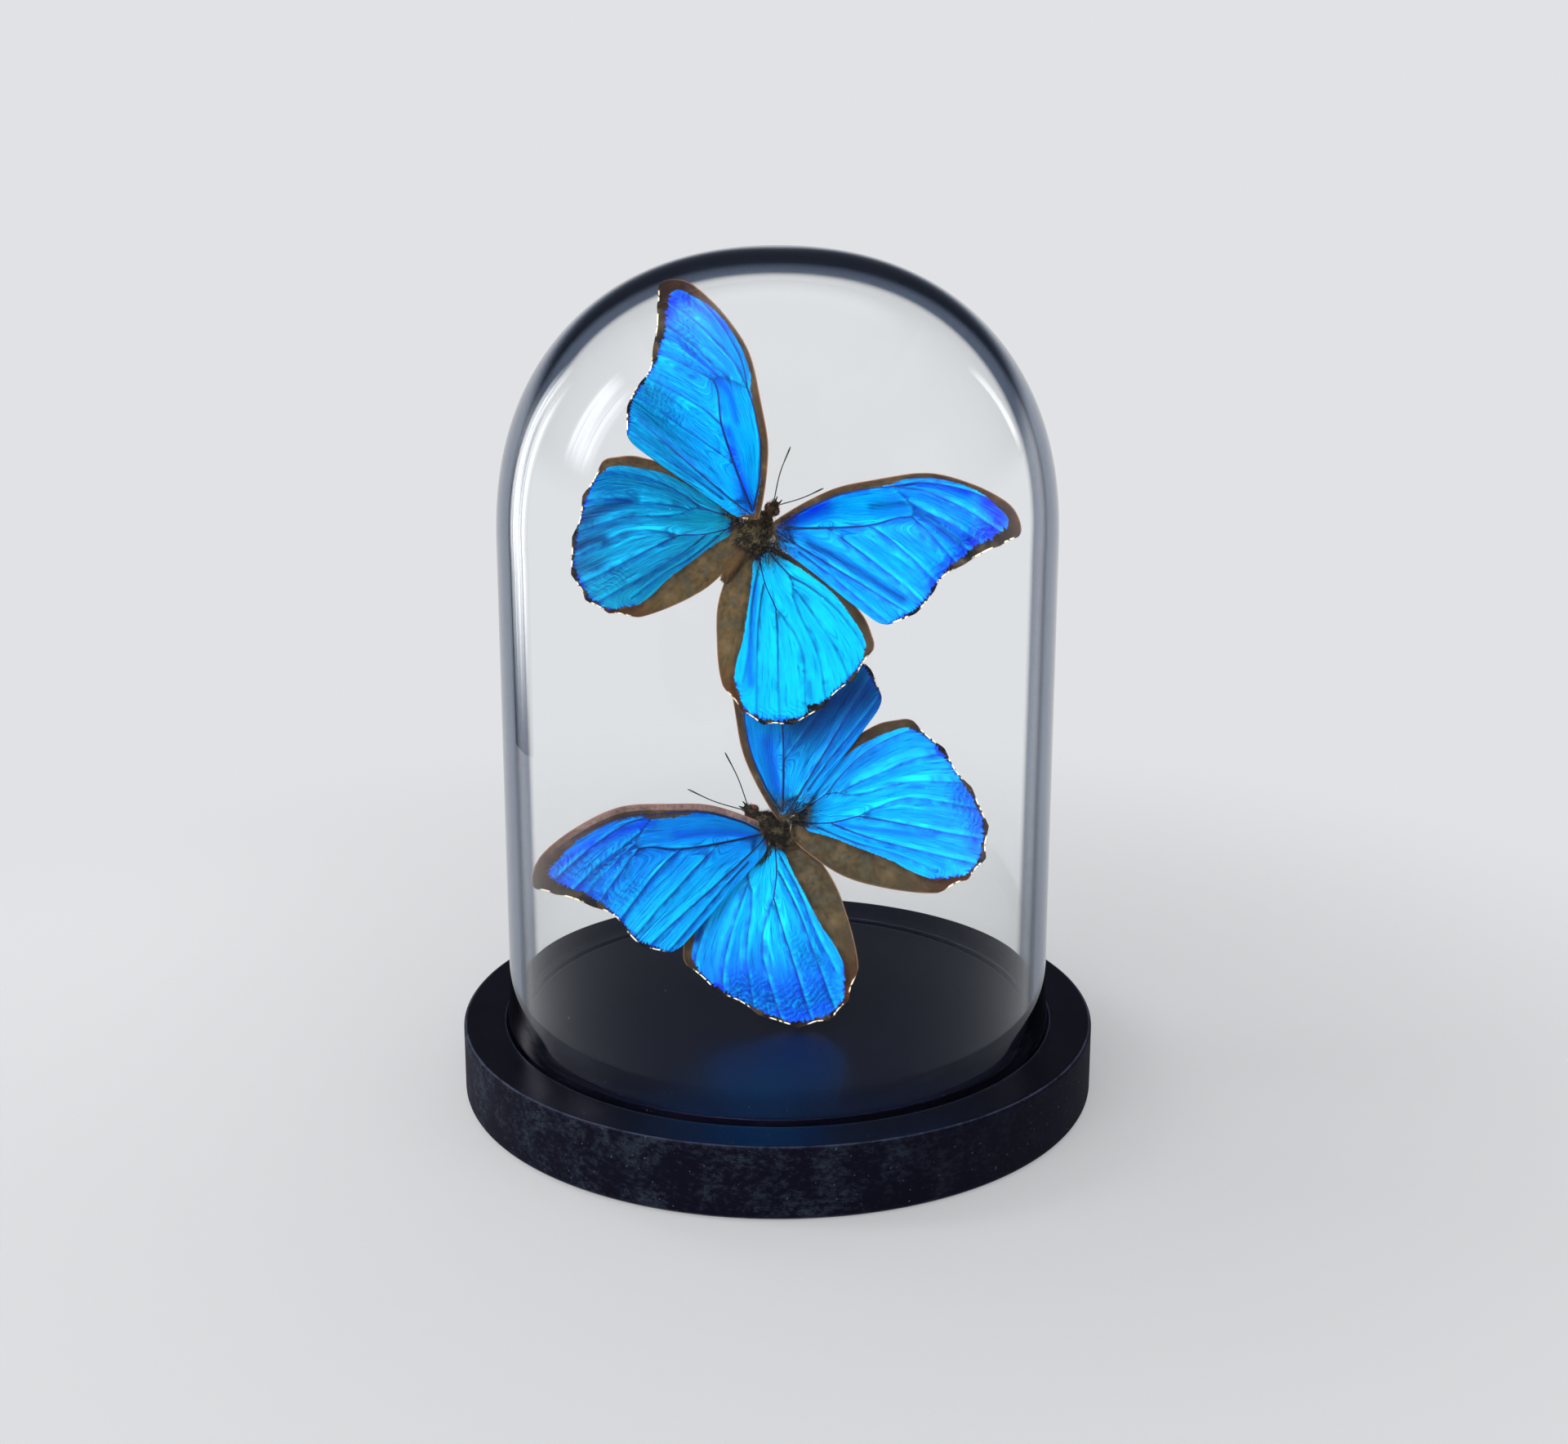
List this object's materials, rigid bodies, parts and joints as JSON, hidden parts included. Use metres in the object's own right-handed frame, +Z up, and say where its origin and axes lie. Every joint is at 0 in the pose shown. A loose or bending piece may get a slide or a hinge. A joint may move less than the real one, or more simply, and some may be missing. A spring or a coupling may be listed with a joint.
{
  "type": "insect in glass dome",
  "caption": "Blue morpho butterflies held on thin wires under a clear glass dome that stands in a groove of a round black base.",
  "frame": {"origin": "centre of the base's underside", "axes": "+Z up along the dome, -Y the front that the butterflies face, +X to the right seen from the front"},
  "size_m": [0.175, 0.175, 0.231],
  "materials": {
    "black_satin_paint": "black satin paint",
    "clear_glass": "clear, polished",
    "steel_wire": "drawn wire",
    "body_fur": "fine brown fur",
    "forewing_blue": "iridescent blue scales",
    "hindwing_blue": "iridescent blue scales",
    "antenna_brown": "dark horn",
    "leg_brown": "dark horn, fine hair"
  },
  "bodies": {
    "root": {"base_board": "black_satin_paint", "glass_dome": "clear_glass", "support_wire_upper": "steel_wire", "support_wire_lower": "steel_wire", "upper_body": "body_fur", "upper_forewing_left": "forewing_blue", "upper_forewing_right": "forewing_blue", "upper_hindwing_left": "hindwing_blue", "upper_hindwing_right": "hindwing_blue", "upper_antenna_left": "antenna_brown", "upper_antenna_right": "antenna_brown", "upper_leg_mid_left": "leg_brown", "upper_leg_mid_right": "leg_brown", "upper_leg_hind_left": "leg_brown", "upper_leg_hind_right": "leg_brown", "lower_body": "body_fur", "lower_forewing_left": "forewing_blue", "lower_forewing_right": "forewing_blue", "lower_hindwing_left": "hindwing_blue", "lower_hindwing_right": "hindwing_blue", "lower_antenna_left": "antenna_brown", "lower_antenna_right": "antenna_brown", "lower_leg_mid_left": "leg_brown", "lower_leg_mid_right": "leg_brown", "lower_leg_hind_left": "leg_brown", "lower_leg_hind_right": "leg_brown"}
  },
  "joints": []
}
